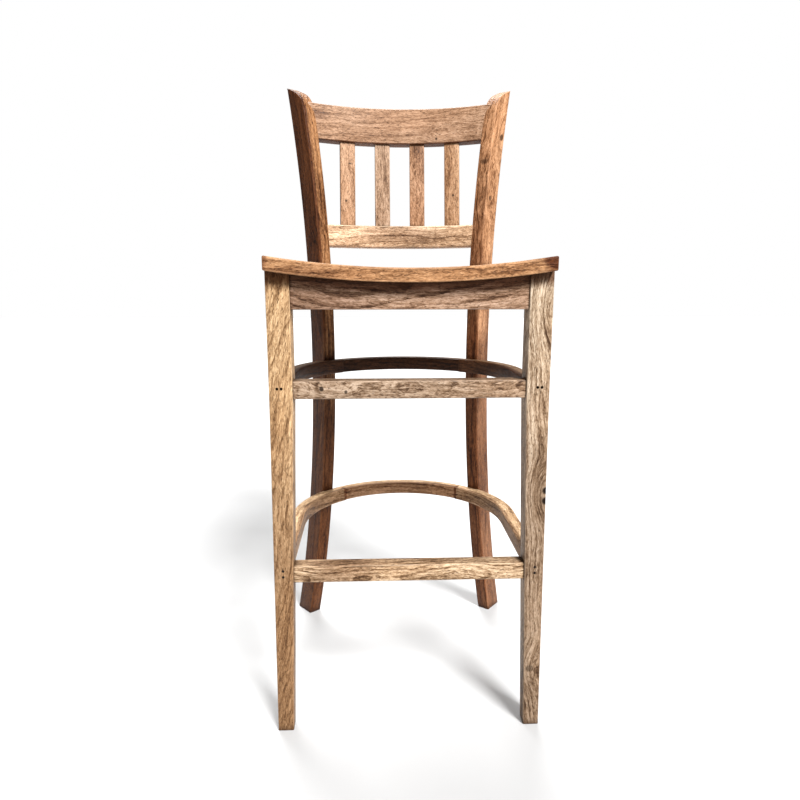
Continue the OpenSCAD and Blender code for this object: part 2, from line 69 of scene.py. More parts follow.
SEAT_THICK = 21 * MM
SEAT_DIP = 17 * MM
SEAT_HALF = 214 * MM
SEAT_REAR_HALF = 184.5 * MM
SEAT_RADIUS = (SEAT_HALF ** 2 + SEAT_DIP ** 2) / (2 * SEAT_DIP)

LEG_INNER = 178.3 * MM
LEG_OUTER = 214 * MM
FOOT_INNER = 192.9 * MM
FOOT_OUTER = 218.8 * MM
LEG_DEPTH = 38.5 * MM
FOOT_DEPTH = 25 * MM
TAPER_HEIGHT = 560 * MM

RAIL_RADIUS = 550 * MM
RAIL_THICK = 24 * MM

# Bottom, height and lean of the two rails of the back
CREST = (1009 * MM, 69 * MM, math.radians(9.3))
LOWER_RAIL = (805 * MM, 43 * MM, math.radians(4.8))

SLAT_OFFSETS = (-105 * MM, -35 * MM, 35 * MM, 105 * MM)
SLAT_HALF_WIDTH = 15 * MM
SLAT_HALF_THICK = 6 * MM

HOOP_LEVELS = {"upper": 570 * MM, "lower": 290 * MM}
HOOP_RADIUS = 213 * MM
HOOP_THICK = 24 * MM
HOOP_SIDE_HALF_HEIGHT = 13 * MM
HOOP_BACK_HALF_HEIGHT = 12.5 * MM
HOOP_BACK_TRIM = 1 * MM
HOOP_HOUSING = 1.5 * MM
LAP_START = math.radians(38)
LAP_END = math.radians(50)

SIDE_APRON_FRONT = 196.2 * MM
SIDE_APRON_MIDDLE = 721 * MM
SIDE_APRON_HALF_THICK = 10 * MM

# How deep the ends of boards reach into their neighbours. The rails of the back meet the
# turned posts at a slant, so they reach deeper to close the joint on their rear faces.
SUNK = 7 * MM
RAIL_SUNK = 18 * MM
SIDE_APRON_SUNK = 10 * MM
REAR_APRON_HALF = 158 * MM
# Rounding of the long edges, and easing of the ends where it isn't the usual
ROUND = 2 * MM
LEG_ROUND = 1.8 * MM
STRETCHER_ROUND = 2.2 * MM
RAIL_ROUND = 3 * MM
EASE = 1.5 * MM
POST_EASE = 0.4 * MM
HOOP_EASE = 0.8 * MM
# How far boards that carry the seat reach into its underside
LEG_HOUSED = 2 * MM
APRON_HOUSED = 1 * MM


def post_front(z):
    """Distance back of the front face of a post, in the turned post frame."""
    return POST_AXIS - math.sqrt((POST_BOW + POST_WIDTH / 2) ** 2 - (z - POST_VERTEX_Z) ** 2)


def post_rear(z):
    """Distance back of the rear face of a post, in the turned post frame."""
    return POST_AXIS - math.sqrt((POST_BOW - POST_WIDTH / 2) ** 2 - (z - POST_VERTEX_Z) ** 2)


def to_stool(across, back, z=0.0):
    """A point of the turned post frame, in the frame of the stool."""
    x = across * math.cos(POST_TURN) + back * math.sin(POST_TURN)
    y = back * math.cos(POST_TURN) - across * math.sin(POST_TURN)
    return Vector((x, y + FRONT, z))


def seat_top(x):
    """Height of the saddle of the seat at a distance from its middle line."""
    return SEAT_HIGH.z - SEAT_DIP + SEAT_RADIUS - math.sqrt(SEAT_RADIUS ** 2 - x * x)


def seat_underside(x):
    """Height of the underside of the seat at a distance from its middle line."""
    outer = SEAT_RADIUS + SEAT_THICK
    return SEAT_HIGH.z - SEAT_DIP + SEAT_RADIUS - math.sqrt(outer ** 2 - x * x)


# ---- mesh building ----

@dataclass
class Station:
    """One cross-section of a board: its middle, its two directions and its half sizes.

    The board coordinates of its points are the distance along the board, the distance
    across it plus the shift, and the distance through it.
    """
    place: Vector
    across: Vector
    through: Vector
    half_across: float
    half_through: float
    along: float
    shift: float = 0.0


ARC_STEPS = 3
ROUND_SHARE = 0.8
ROUND_LEAST = 0.2 * MM
END_RIM = 1 * MM


def eased_section(half_across, half_through, radius):
    """Points of a rectangle with rounded corners, each with 1 on the round and 0 at its ends."""
    radius = min(radius, half_across * ROUND_SHARE, half_through * ROUND_SHARE)
    radius = max(radius, ROUND_LEAST)
    points = []
    for corner, (sign_a, sign_t) in enumerate([(1, 1), (-1, 1), (-1, -1), (1, -1)]):
        for step in range(ARC_STEPS + 1):
            angle = math.radians(90 * corner + 90 * step / ARC_STEPS)
            a = sign_a * (half_across - radius) + radius * math.cos(angle)
            t = sign_t * (half_through - radius) + radius * math.sin(angle)
            wear_and_highlight = 0.0 if step in (0, ARC_STEPS) else 1.0
            points.append((a, t, wear_and_highlight))
    return points


def eased_end(first, second, ease, steps=3):
    """Extra stations that round off an end of a board, listed from the very end inwards."""
    inward = (second.place - first.place).normalized()
    sign = 1 if second.along > first.along else -1
    rim = min(END_RIM, (first.half_across - ease) / 2, (first.half_through - ease) / 2)
    flat = Station(first.place, first.across, first.through, first.half_across - ease - rim,
                   first.half_through - ease - rim, first.along, first.shift)
    extra = [(flat, 0.0)]
    for step in range(steps + 1):
        angle = math.radians(90 * step / steps)
        inset = ease * (1 - math.sin(angle))
        depth = ease * (1 - math.cos(angle))
        extra.append((Station(
            first.place + inward * depth, first.across, first.through,
            first.half_across - inset, first.half_through - inset,
            first.along + sign * depth, first.shift), 1.0 if step < steps else 0.0))
    return extra


def mesh_piece(name, points, faces, board, wear_and_highlight, material, smooth=40):
    """Makes a mesh object that carries its board coordinates and how pale its eased edge is at each
    point, partly wear and partly a painted highlight.
    """
    mesh = bpy.data.meshes.new(name)
    mesh.from_pydata([tuple(p) for p in points], [], faces)
    mesh.update()
    board_layer = mesh.attributes.new("board", "FLOAT_VECTOR", "POINT")
    board_layer.data.foreach_set("vector", [c for item in board for c in item])
    wear_and_highlight_layer = mesh.attributes.new("wear_and_highlight", "FLOAT", "POINT")
    wear_and_highlight_layer.data.foreach_set("value", wear_and_highlight)
    piece = bpy.data.objects.new(name, mesh)
    bpy.context.scene.collection.objects.link(piece)
    mesh.materials.append(material)
    mesh.shade_smooth()
    mesh.set_sharp_from_angle(angle=math.radians(smooth))
    return piece


def board(name, stations, material, ease=EASE, radius=ROUND):
    """A board swept through its stations, its long edges and its ends eased."""
    run = eased_end(stations[0], stations[1], ease)
    run += [(station, 0.0) for station in stations[1:-1]]
    run += reversed(eased_end(stations[-1], stations[-2], ease))
    points, coordinates, wear_and_highlight, faces = [], [], [], []
    for station, end_wear_and_highlight in run:
        for a, t, edge in eased_section(station.half_across, station.half_through, radius):
            points.append(station.place + station.across * a + station.through * t)
            coordinates.append((station.along, a + station.shift, t))
            wear_and_highlight.append(max(edge, end_wear_and_highlight))
    ring = len(points) // len(run)
    for level in range(len(run) - 1):
        low = level * ring
        for corner in range(ring):
            step = (corner + 1) % ring
            faces.append((low + corner, low + step, low + ring + step, low + ring + corner))
    faces.append(tuple(reversed(range(ring))))
    faces.append(tuple(range(len(points) - ring, len(points))))
    return mesh_piece(name, points, faces, coordinates, wear_and_highlight, material)


def mirrored(points):
    """Stations of the same board on the other side of the stool."""
    flipped = []
    for station in points:
        place = Vector((-station.place.x, station.place.y, station.place.z))
        across = Vector((-station.across.x, station.across.y, station.across.z))
        through = Vector((-station.through.x, station.through.y, station.through.z))
        flipped.append(Station(place, across, through, station.half_across,
                               station.half_through, station.along, station.shift))
    return flipped


def sided(stations, side):
    """The stations for the right side, or their mirror image for the left side."""
    return stations if side > 0 else mirrored(stations)


def straighten(piece):
    """Turns every face of a closed piece outwards."""
    work = bmesh.new()
    work.from_mesh(piece.data)
    bmesh.ops.recalc_face_normals(work, faces=work.faces)
    work.to_mesh(piece.data)
    work.free()
    return piece


def show(piece, slot, *nodes):
    """Hands a finished piece to the frame in place of its CAD node."""
    straighten(piece)
    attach(piece, "root")
    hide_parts(*nodes)
    return piece


# ---- wood ----

@dataclass
class Wood:
    """How one board looks. Lengths in metres, tones in linear colour.

    tone, contrast, patch: middle tone, strength of all variation and of its broad patches.
    ring, ring_depth, pith: width and darkness of the growth rings, and where their centre is.
    wave, wave_length, slope: how far and how often the grain wanders, and how it tilts.
    knots: each its middle (along, across, through), its size and how dark its heart is.
    stains: each its middle, its reach in the same three directions, and its depth.
    stain: what a darkening at full depth leaves of the colour under it, for marks of the wood and painted
    shade alike.
    edge_wear_and_highlight, rough: paleness of the eased edges, partly wear and partly a painted
    highlight, and roughness of the surface.
    seed: moves the pattern along, so that no two boards look the same.
    """
    tone: tuple
    contrast: float = 1.0
    patch: float = 1.0
    ring: float = 0.009
    ring_depth: float = 0.35
    pith: tuple = (0.05, 0.09)
    wave: float = 0.012
    wave_length: float = 0.35
    slope: float = 0.0
    knots: list = field(default_factory=list)
    stains_and_shade: list = field(default_factory=list)
    stain_and_shade_tint: tuple = (0.24, 0.13, 0.075)
    edge_wear_and_highlight: float = 0.45
    rough: float = 0.42
    seed: float = 0.0


class Graph:
    """Short calls for building a material's node tree."""

    def __init__(self, name):
        self.material = bpy.data.materials.new(name)
        self.material.use_nodes = True
        self.tree = self.material.node_tree
        self.shader = self.tree.nodes["Principled BSDF"]

    def link(self, source, socket):
        self.tree.links.new(source, socket)

    def put(self, value, socket):
        if isinstance(value, bpy.types.NodeSocket):
            self.link(value, socket)
        elif value is not None:
            socket.default_value = value

    def node(self, kind, **settings):
        made = self.tree.nodes.new(kind)
        for key, value in settings.items():
            setattr(made, key, value)
        return made

    def math(self, operation, a, b=None, c=None):
        made = self.node("ShaderNodeMath", operation=operation)
        for value, socket in zip((a, b, c), made.inputs):
            self.put(value, socket)
        return made.outputs[0]

    def vector(self, operation, a, b=None):
        made = self.node("ShaderNodeVectorMath", operation=operation)
        self.put(a, made.inputs[0])
        self.put(b, made.inputs[1])
        return made.outputs["Value"] if operation in ("LENGTH", "DISTANCE") else made.outputs[0]

    def noise(self, vector, scale, detail=3.0, rough=0.5, distortion=0.0):
        made = self.node("ShaderNodeTexNoise")
        self.put(vector, made.inputs["Vector"])
        self.put(scale, made.inputs["Scale"])
        self.put(detail, made.inputs["Detail"])
        self.put(rough, made.inputs["Roughness"])
        self.put(distortion, made.inputs["Distortion"])
        return made.outputs["Fac"]

    def spread(self, value, low, high, to_low=0.0, to_high=1.0):
        made = self.node("ShaderNodeMapRange", interpolation_type="SMOOTHSTEP")
        for item, socket in zip((value, low, high, to_low, to_high), made.inputs):
            self.put(item, socket)
        return made.outputs[0]

    def mix(self, factor, a, b, blend="MIX"):
        made = self.node("ShaderNodeMix", data_type="RGBA", blend_type=blend)
        self.put(factor, made.inputs[0])
        self.put(a, made.inputs[6])
        self.put(b, made.inputs[7])
        return made.outputs[2]

    def ramp(self, value, stops):
        made = self.node("ShaderNodeValToRGB")
        spots = made.color_ramp.elements
        while len(spots) < len(stops):
            spots.new(0.5)
        for spot, (place, colour) in zip(spots, stops):
            spot.position = place
            spot.color = colour
        self.put(value, made.inputs[0])
        return made.outputs[0]

    def split(self, vector):
        made = self.node("ShaderNodeSeparateXYZ")
        self.put(vector, made.inputs[0])
        return made.outputs

    def join(self, x, y, z):
        made = self.node("ShaderNodeCombineXYZ")
        for value, socket in zip((x, y, z), made.inputs):
            self.put(value, socket)
        return made.outputs[0]

    def attribute(self, name, output):
        made = self.node("ShaderNodeAttribute", attribute_name=name)
        return made.outputs[output]

    def bump(self, height, distance, strength=1.0, under=None):
        made = self.node("ShaderNodeBump")
        made.inputs["Strength"].default_value = strength
        made.inputs["Distance"].default_value = distance
        self.put(height, made.inputs["Height"])
        self.put(under, made.inputs["Normal"])
        return made.outputs[0]


def rgba(colour):
    """A colour with full alpha."""
    return (*colour, 1.0)


SEED_STEP = 1.37


def board_coordinates(g, wood, carried):
    """Along, across and through the board, moved along so that no two boards agree."""
    if carried:
        place = g.node("ShaderNodeTexCoord").outputs["Object"]
    else:
        place = g.attribute("board", "Vector")
    along, across, through = g.split(place)
    return g.math("ADD", along, wood.seed * SEED_STEP), across, through, place


def knot_pull(g, place, knots):
    """How much the grain is pushed aside by the knots, and how dark each knot makes it."""
    push, dark = 0.0, 0.0
    for middle, size, depth in knots:
        aside = g.vector("SUBTRACT", place, middle)
        around = g.vector("LENGTH", g.vector("MULTIPLY", aside, (0.55, 1.0, 0.3)))
        heart = g.vector("LENGTH", g.vector("MULTIPLY", aside, (1.1, 1.0, 0.6)))
        push = g.math("ADD", push, g.spread(around, 0.0, size * 4.0, size * 2.0, 0.0))
        dark = g.math("MAXIMUM", dark, g.spread(heart, size * 0.45, size * 0.9, depth, 0.0))
    return push, dark


def stain_and_shade_depth(g, place, stains_and_shade, wobble):
    """How much darker wood, grime and painted shade cover a point of the board."""
    cover = 0.0
    for middle, reach, depth in stains_and_shade:
        inward = g.vector("SUBTRACT", place, middle)
        scaled = g.vector("LENGTH", g.vector("DIVIDE", inward, reach))
        ragged = g.math("MULTIPLY_ADD", g.math("SUBTRACT", wobble, 0.5), 1.2, scaled)
        cover = g.math("MAXIMUM", cover, g.spread(ragged, 0.55, 1.1, depth, 0.0))
    return cover


def stretched_noise(g, place, along, aside, detail, rough, distortion=0.0):
    """Noise with its own number of patches per metre along and across the grain."""
    scaled = g.vector("MULTIPLY", place, (along, aside, aside))
    return g.noise(scaled, 1.0, detail, rough, distortion)


def waviness(g, wood, along, across, through):
    """Slow and quick wander of the grain from side to side, each about one wide."""
    stretched = g.join(g.math("MULTIPLY", along, 1 / wood.wave_length), across, through)
    slow = stretched_noise(g, stretched, 1.0, 9.0, 2.0, 0.5)
    quick = stretched_noise(g, stretched, 7.0, 40.0, 3.0, 0.55)
    return g.math("SUBTRACT", slow, 0.5), g.math("SUBTRACT", quick, 0.5)


def growth_rings(g, wood, along, across, through, slow, quick, pushed):
    """Dark late wood of the growth rings, where the board cuts through them."""
    tilted = g.math("MULTIPLY_ADD", along, wood.slope, across)
    wander = g.math("MULTIPLY_ADD", slow, wood.wave * 6, pushed)
    fine = g.math("MULTIPLY", quick, wood.ring * 1.2)
    from_pith = g.vector("LENGTH", g.join(
        0.0, g.math("ADD", tilted, wood.pith[0]), g.math("ADD", through, wood.pith[1])))
    depth = g.math("ADD", g.math("ADD", from_pith, wander), fine)
    turn = g.math("FRACT", g.math("DIVIDE", depth, wood.ring))
    line = g.math("MULTIPLY", g.spread(turn, 0.45, 0.92), g.spread(turn, 0.92, 1.0, 1.0, 0.0))
    year = g.noise(g.join(g.math("MULTIPLY", depth, 70.0), wood.seed, 0.0), 1.0, 2.0)
    return g.math("MULTIPLY", line, g.spread(year, 0.3, 0.7, 0.15, 1.0))


def bent_grain(g, wood, along, across, through, slow, pushed):
    """Board coordinates that follow the grain around knots and along its slope."""
    around = g.math("MULTIPLY_ADD", pushed, 0.8, across)
    sloped = g.math("MULTIPLY_ADD", along, wood.slope * 0.35, g.math("MULTIPLY", slow, 0.04))
    return g.join(along, g.math("ADD", around, sloped), through)


@dataclass
class Figure:
    """The patterns of one board, each a socket with values from 0 to 1."""
    zone: object
    streak: object
    speckle: object
    fibre: object
    pore: object
    hue: object
    ring: object


def board_figure(g, grain, ring):
    """All patterns of a board, from broad zones down to single fibres and pores."""
    return Figure(
        zone=stretched_noise(g, grain, 7.0, 40.0, 3.0, 0.55, 0.6),
        streak=stretched_noise(g, grain, 20.0, 260.0, 4.0, 0.6, 0.5),
        speckle=stretched_noise(g, grain, 110.0, 370.0, 3.0, 0.7, 1.0),
        fibre=stretched_noise(g, grain, 50.0, 1200.0, 2.0, 0.6),
        pore=g.spread(stretched_noise(g, grain, 150.0, 900.0, 1.0, 0.5), 0.60, 0.68),
        hue=stretched_noise(g, grain, 4.0, 14.0, 2.0, 0.5),
        ring=ring)


def tint(colour, light, green=1.0, blue=1.0):
    """A colour made lighter or darker, with its green and blue changed for warmth."""
    factors = (light, light * green, light * blue)
    return rgba(tuple(min(0.9, channel * factor) for channel, factor in zip(colour, factors)))


def palest(tone):
    """Palest wood of a board: its early wood, and its eased edges, partly wear and partly a painted
    highlight.
    """
    return tint(tone, 1.9, 1.12, 1.3)


def weighted(g, layers):
    """Sum of layers of noise, each centred on nothing and given its weight."""
    total = 0.0
    for value, weight in layers:
        total = g.math("MULTIPLY_ADD", g.math("SUBTRACT", value, 0.5), weight, total)
    return total


def timber_colour(g, wood, figure):
    """Colour of clean timber: its figure on a ramp from dark to pale, some redder, and pores."""
    level = weighted(g, [(figure.zone, wood.patch * wood.contrast), (figure.streak, wood.contrast),
                         (figure.speckle, 1.5 * wood.contrast), (figure.fibre, 0.5)])
    late = g.math("MULTIPLY", figure.ring, wood.ring_depth)
    level = g.math("SUBTRACT", g.math("ADD", level, 0.55), late)
    colour = g.ramp(level, [
        (0.00, tint(wood.tone, 0.16, 0.72, 0.55)), (0.28, tint(wood.tone, 0.52, 0.88, 0.78)),
        (0.52, tint(wood.tone, 1.0)), (0.74, tint(wood.tone, 1.42, 1.08, 1.18)),
        (1.00, palest(wood.tone))])
    redder = g.mix(1.0, colour, (1.0, 0.86, 0.72, 1.0), "MULTIPLY")
    colour = g.mix(g.spread(figure.hue, 0.4, 0.65, 0.0, 0.35), colour, redder)
    return g.mix(g.math("MULTIPLY", figure.pore, 0.7), colour, tint(wood.tone, 0.12, 0.7, 0.5))


def with_edge_wear_and_highlight(g, wood, figure, colour):
    """Paler along the eased edges, partly wear and partly a painted highlight, more so where the streaks
    are dark.
    """
    patchy = g.spread(figure.streak, 0.35, 0.6, 1.0, 0.25)
    wear_and_highlight = g.math("MULTIPLY", g.attribute("wear_and_highlight", "Fac"), patchy)
    return g.mix(g.math("MULTIPLY", wear_and_highlight, wood.edge_wear_and_highlight), colour, palest(wood.tone))


def with_stains_and_shade(g, wood, place, figure, colour):
    """Darker under marks of the wood and under painted shade, with a ragged rim."""
    wobble = g.math("MULTIPLY", g.math("ADD", figure.zone, figure.streak), 0.5)
    cover = stain_and_shade_depth(g, place, wood.stains_and_shade, wobble)
    return g.mix(cover, colour, g.mix(1.0, colour, rgba(wood.stain_and_shade_tint), "MULTIPLY"))


# Reach of the painted shade and joint grime in the inner corners
CORNER_REACH = 24 * MM
FIBRE_RELIEF = 0.3 * MM
GRAIN_RELIEF = 1.2 * MM
WOOD_SPECULAR = 0.1


def with_corner_grime_and_shade(g, wood, colour):
    """Nearly black in the inner corners where boards meet and under overhangs: painted shade from ambient
    occlusion, with grime in the joints.
    """
    corner = g.node("ShaderNodeAmbientOcclusion", samples=8)
    corner.inputs["Distance"].default_value = CORNER_REACH
    grime_and_shade = g.spread(corner.outputs["AO"], 0.3, 0.85, 0.85, 0.0)
    return g.mix(grime_and_shade, colour, tint(wood.tone, 0.10, 0.62, 0.45))


def timber_surface(g, wood, figure):
    """Roughness and relief of a board: open pores, fibres and slightly raised late wood."""
    plain = g.spread(figure.speckle, 0.3, 0.7, wood.rough - 0.08, wood.rough + 0.12)
    rough = g.math("ADD", plain, g.math("MULTIPLY", figure.pore, 0.15))
    g.link(rough, g.shader.inputs["Roughness"])
    fine = g.bump(g.math("SUBTRACT", figure.fibre, figure.pore), FIBRE_RELIEF, 0.5)
    raised = g.math("ADD", figure.speckle, g.math("MULTIPLY", figure.ring, 0.5))
    g.link(g.bump(raised, GRAIN_RELIEF, 0.5, fine), g.shader.inputs["Normal"])
    g.shader.inputs["Specular IOR Level"].default_value = WOOD_SPECULAR


def wood_material(name, wood, carried=False):
    """Solid timber. A carried-over CAD node has no board coordinates and no pale eased edges of wear and
    painted highlight.
    """
    g = Graph(name)
    along, across, through, place = board_coordinates(g, wood, carried)
    pushed, knot = knot_pull(g, place, wood.knots)
    slow, quick = waviness(g, wood, along, across, through)
    ring = growth_rings(g, wood, along, across, through, slow, quick, pushed)
    grain = bent_grain(g, wood, along, across, through, slow, pushed)
    figure = board_figure(g, grain, ring)
    colour = timber_colour(g, wood, figure)
    if not carried:
        colour = with_edge_wear_and_highlight(g, wood, figure, colour)
    if wood.stains_and_shade:
        colour = with_stains_and_shade(g, wood, place, figure, colour)
    if wood.knots:
        colour = g.mix(knot, colour, tint(wood.tone, 0.03, 0.6, 0.45))
    g.link(with_corner_grime_and_shade(g, wood, colour), g.shader.inputs["Base Color"])
    timber_surface(g, wood, figure)
    return g.material


def metal_material(name, colour, rough):
    """Drawn steel with fine turning marks and dull patches."""
    g = Graph(name)
    place = g.node("ShaderNodeTexCoord").outputs["Object"]
    mark = g.noise(place, scale=2600.0, detail=2.0, rough=0.6)
    dull = g.noise(place, scale=320.0, detail=3.0, rough=0.6)
    tone = g.mix(g.spread(dull, 0.35, 0.7), rgba(colour), tint(colour, 0.45))
    g.link(tone, g.shader.inputs["Base Color"])
    g.link(g.spread(mark, 0.3, 0.7, rough - 0.1, rough + 0.15), g.shader.inputs["Roughness"])
    g.link(g.bump(mark, 0.2 * MM, 0.4), g.shader.inputs["Normal"])
    g.shader.inputs["Metallic"].default_value = 0.9
    return g.material


def dress(node, material):
    """Gives a CAD node that stays in the picture its material."""
    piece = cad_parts[node]
    piece.data.materials.clear()
    piece.data.materials.append(material)


# ---- the boards ----

X, Y, Z = Vector((1, 0, 0)), Vector((0, 1, 0)), Vector((0, 0, 1))
SIDES = {"left": -1, "right": 1}


def leg_back(z):
    """Depth of a front leg at a height."""
    if z > TAPER_HEIGHT:
        return LEG_DEPTH
    return FOOT_DEPTH + (LEG_DEPTH - FOOT_DEPTH) * z / TAPER_HEIGHT


def leg_stations():
    """Right front leg, from the floor to the seat."""
    def at(z, inner, outer, depth):
        middle = Vector(((inner + outer) / 2, FRONT + depth / 2, z))
        return Station(middle, X, Y, (outer - inner) / 2, depth / 2, z)
    top = seat_underside(LEG_OUTER) + LEG_HOUSED
    return [
        at(0.0, FOOT_INNER, FOOT_OUTER, FOOT_DEPTH),
        at(TAPER_HEIGHT, LEG_INNER, LEG_OUTER, LEG_DEPTH),
        at(top, LEG_INNER, LEG_OUTER, LEG_DEPTH)]


def post_top_front(z):
    """Front outline of the shaped top of a post."""
    centre_z = POST_HEIGHT - POST_TOP_RADIUS / math.cos(POST_TOP_SLOPE)
    centre = POST_AXIS - math.sqrt((POST_BOW + POST_WIDTH / 2 - POST_TOP_RADIUS) ** 2
                                   - (centre_z - POST_VERTEX_Z) ** 2)
    lean = math.asin((centre_z - POST_VERTEX_Z) / (POST_BOW + POST_WIDTH / 2 - POST_TOP_RADIUS))
    start = centre_z + POST_TOP_RADIUS * math.sin(lean)
    if z <= start:
        return post_front(z)
    tangent_z = centre_z + POST_TOP_RADIUS * math.cos(POST_TOP_SLOPE)
    if z <= tangent_z:
        return centre - math.sqrt(max(POST_TOP_RADIUS ** 2 - (z - centre_z) ** 2, 0.0))
    tangent_y = centre - POST_TOP_RADIUS * math.sin(POST_TOP_SLOPE)
    return tangent_y + (z - tangent_z) / math.tan(POST_TOP_SLOPE)


# Sections of a post: evenly spaced up to a share of its height, then closer towards the tip
EVEN_SHARE = 0.94
EVEN_STEPS = 40
TIP_STEPS = 18
TIP_GAP = 0.6 * MM
TIP_HALF = 0.8 * MM


def post_stations():
    """Right back post, cut level, from the floor to its tip."""
    across = Vector((math.cos(POST_TURN), -math.sin(POST_TURN), 0))
    back = Vector((math.sin(POST_TURN), math.cos(POST_TURN), 0))
    shaped = POST_HEIGHT * EVEN_SHARE
    heights = [shaped * step / EVEN_STEPS for step in range(EVEN_STEPS + 1)]
    rise = POST_HEIGHT - TIP_GAP - shaped
    heights += [shaped + rise * math.sin(math.radians(90 * step / TIP_STEPS))
                for step in range(1, TIP_STEPS + 1)]
    stations = []
    for z in heights:
        front, rear = post_top_front(z), post_rear(z)
        straight = (post_front(z) + post_rear(z)) / 2
        middle = (front + rear) / 2
        half = max((rear - front) / 2, TIP_HALF)
        stations.append(Station(to_stool(POST_PLANE, middle, z), back, across,
                                half, POST_THICK / 2, z, middle - straight))
    return stations


def level_board(node, x_half, material, name):
    """A straight board that runs from side to side, as deep and high as its CAD node."""
    low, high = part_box(node)
    depth = (low.y + high.y) / 2
    height = (low.z + high.z) / 2
    ends = [-x_half, -x_half / 3, x_half / 3, x_half]
    stations = [Station(Vector((x, depth, height)), Z, Y, (high.z - low.z) / 2,
                        (high.y - low.y) / 2, x) for x in ends]
    return board(name, stations, material, radius=STRETCHER_ROUND)


def hoop_outline(z):
    """Centre of the round of a hoop."""
    sunk = HOOP_RADIUS - HOOP_HOUSING
    touch = to_stool(POST_PLANE, post_front(z))
    return Vector((0, touch.y - math.sqrt(sunk ** 2 - touch.x ** 2), z))


def hoop_station(centre, angle, inner, outer, half_height, along):
    """Section of a hoop at an angle from straight back towards the right."""
    out = Vector((math.sin(angle), math.cos(angle), 0))
    middle = (inner + outer) / 2
    return Station(centre + out * middle, out, Z, (outer - inner) / 2, half_height, along,
                   middle - HOOP_RADIUS + HOOP_THICK / 2)


def hoop_side_stations(z, leg_face):
    """Right side piece: straight from the leg, round to the lap, then its inner half."""
    centre = hoop_outline(z)
    inner, outer = HOOP_RADIUS - HOOP_THICK, HOOP_RADIUS
    middle = (inner + outer) / 2
    half_height = HOOP_SIDE_HALF_HEIGHT
    start = leg_face - SUNK
    stations = [Station(Vector((middle, y, z)), X, Z, HOOP_THICK / 2, half_height, y - centre.y)
                for y in (start, (start + centre.y) / 2, centre.y)]
    quarter = math.radians(90)
    bend_steps, lap_steps = 14, 4
    for step in range(1, bend_steps + 1):
        angle = quarter + (LAP_END - quarter) * step / bend_steps
        stations.append(hoop_station(centre, angle, inner, outer, half_height,
                                     (quarter - angle) * middle))
    for step in range(lap_steps + 1):
        angle = LAP_END + (LAP_START - LAP_END) * step / lap_steps
        stations.append(hoop_station(centre, angle, inner, middle, half_height,
                                     (quarter - angle) * middle))
    return stations


def hoop_back_stations(z):
    """Back piece, full between the laps and only its outer half within them."""
    centre = hoop_outline(z)
    inner = HOOP_RADIUS - HOOP_THICK + HOOP_BACK_TRIM
    outer = HOOP_RADIUS - HOOP_BACK_TRIM
    middle = HOOP_RADIUS - HOOP_THICK / 2
    spans = [(-LAP_END, -LAP_START, middle, 5), (-LAP_START, LAP_START, inner, 24),
             (LAP_START, LAP_END, middle, 5)]
    stations = []
    for first, last, inside, steps in spans:
        for step in range(steps + 1):
            angle = first + (last - first) * step / steps
            stations.append(hoop_station(centre, angle, inside, outer, HOOP_BACK_HALF_HEIGHT,
                                         angle * middle))
    return stations


def rail_front_y(z):
    """Front face of a curved back rail in the middle, its ends meeting the posts."""
    corner = to_stool(POST_PLANE - POST_THICK / 2, post_front(z), z)
    return corner.y + RAIL_RADIUS - math.sqrt(RAIL_RADIUS ** 2 - corner.x ** 2)


def rail_stations(bottom, height, lean):
    """Curved rail of the back, leaning back, its ends sunk into the posts."""
    z = bottom + height / 2
    corner = to_stool(POST_PLANE - POST_THICK / 2, post_front(z), z)
    reach = math.asin(corner.x / RAIL_RADIUS) + RAIL_SUNK / RAIL_RADIUS
    origin = Vector((0, rail_front_y(z), z))
    turn = Euler((-lean, 0, 0)).to_matrix()
    middle = RAIL_RADIUS + RAIL_THICK / 2
    stations = []
    steps = 30
    for step in range(steps + 1):
        angle = reach * (2 * step / steps - 1)
        out = Vector((math.sin(angle), math.cos(angle), 0))
        place = out * middle - Vector((0, RAIL_RADIUS, 0))
        stations.append(Station(origin + turn @ place, turn @ Z, turn @ out, height / 2,
                                RAIL_THICK / 2, angle * middle))
    return stations


def rail_middle_y(x, z, rail_z, lean):
    """Middle of the thickness of a back rail at a distance from its middle and a height."""
    bulge = math.sqrt(RAIL_RADIUS ** 2 - x * x)
    return (rail_front_y(rail_z) - RAIL_RADIUS + bulge + RAIL_THICK / 2
            + (z - rail_z) * math.tan(lean))


def slat_stations(x):
    """Slat between the two back rails, sunk a little into both."""
    foot, top = LOWER_RAIL[0] + LOWER_RAIL[1], CREST[0]
    foot_y = rail_middle_y(x, foot, LOWER_RAIL[0] + LOWER_RAIL[1] / 2, LOWER_RAIL[2])
    top_y = rail_middle_y(x, top, CREST[0] + CREST[1] / 2, CREST[2])
    low, high = Vector((x, foot_y, foot)), Vector((x, top_y, top))
    up = (high - low).normalized()
    turn = math.asin(x / RAIL_RADIUS)
    across = Vector((math.cos(turn), -math.sin(turn), 0))
    through = up.cross(across).normalized()
    length = (high - low).length
    return [Station(low + up * s, across, through, SLAT_HALF_WIDTH, SLAT_HALF_THICK, s)
            for s in (-SUNK, length / 3, length * 2 / 3, length + SUNK)]


# Mesh of the seat. Its front and rear faces are flat inside an inset, in easing radii.
SEAT_EASE_TOP = 2.5 * MM
SEAT_EASE_UNDER = 2 * MM
SEAT_STEPS_ACROSS = 48
SEAT_STEPS_BACK = 12
SEAT_EASE_STEPS = 6
FLAT_INSET = 1.5


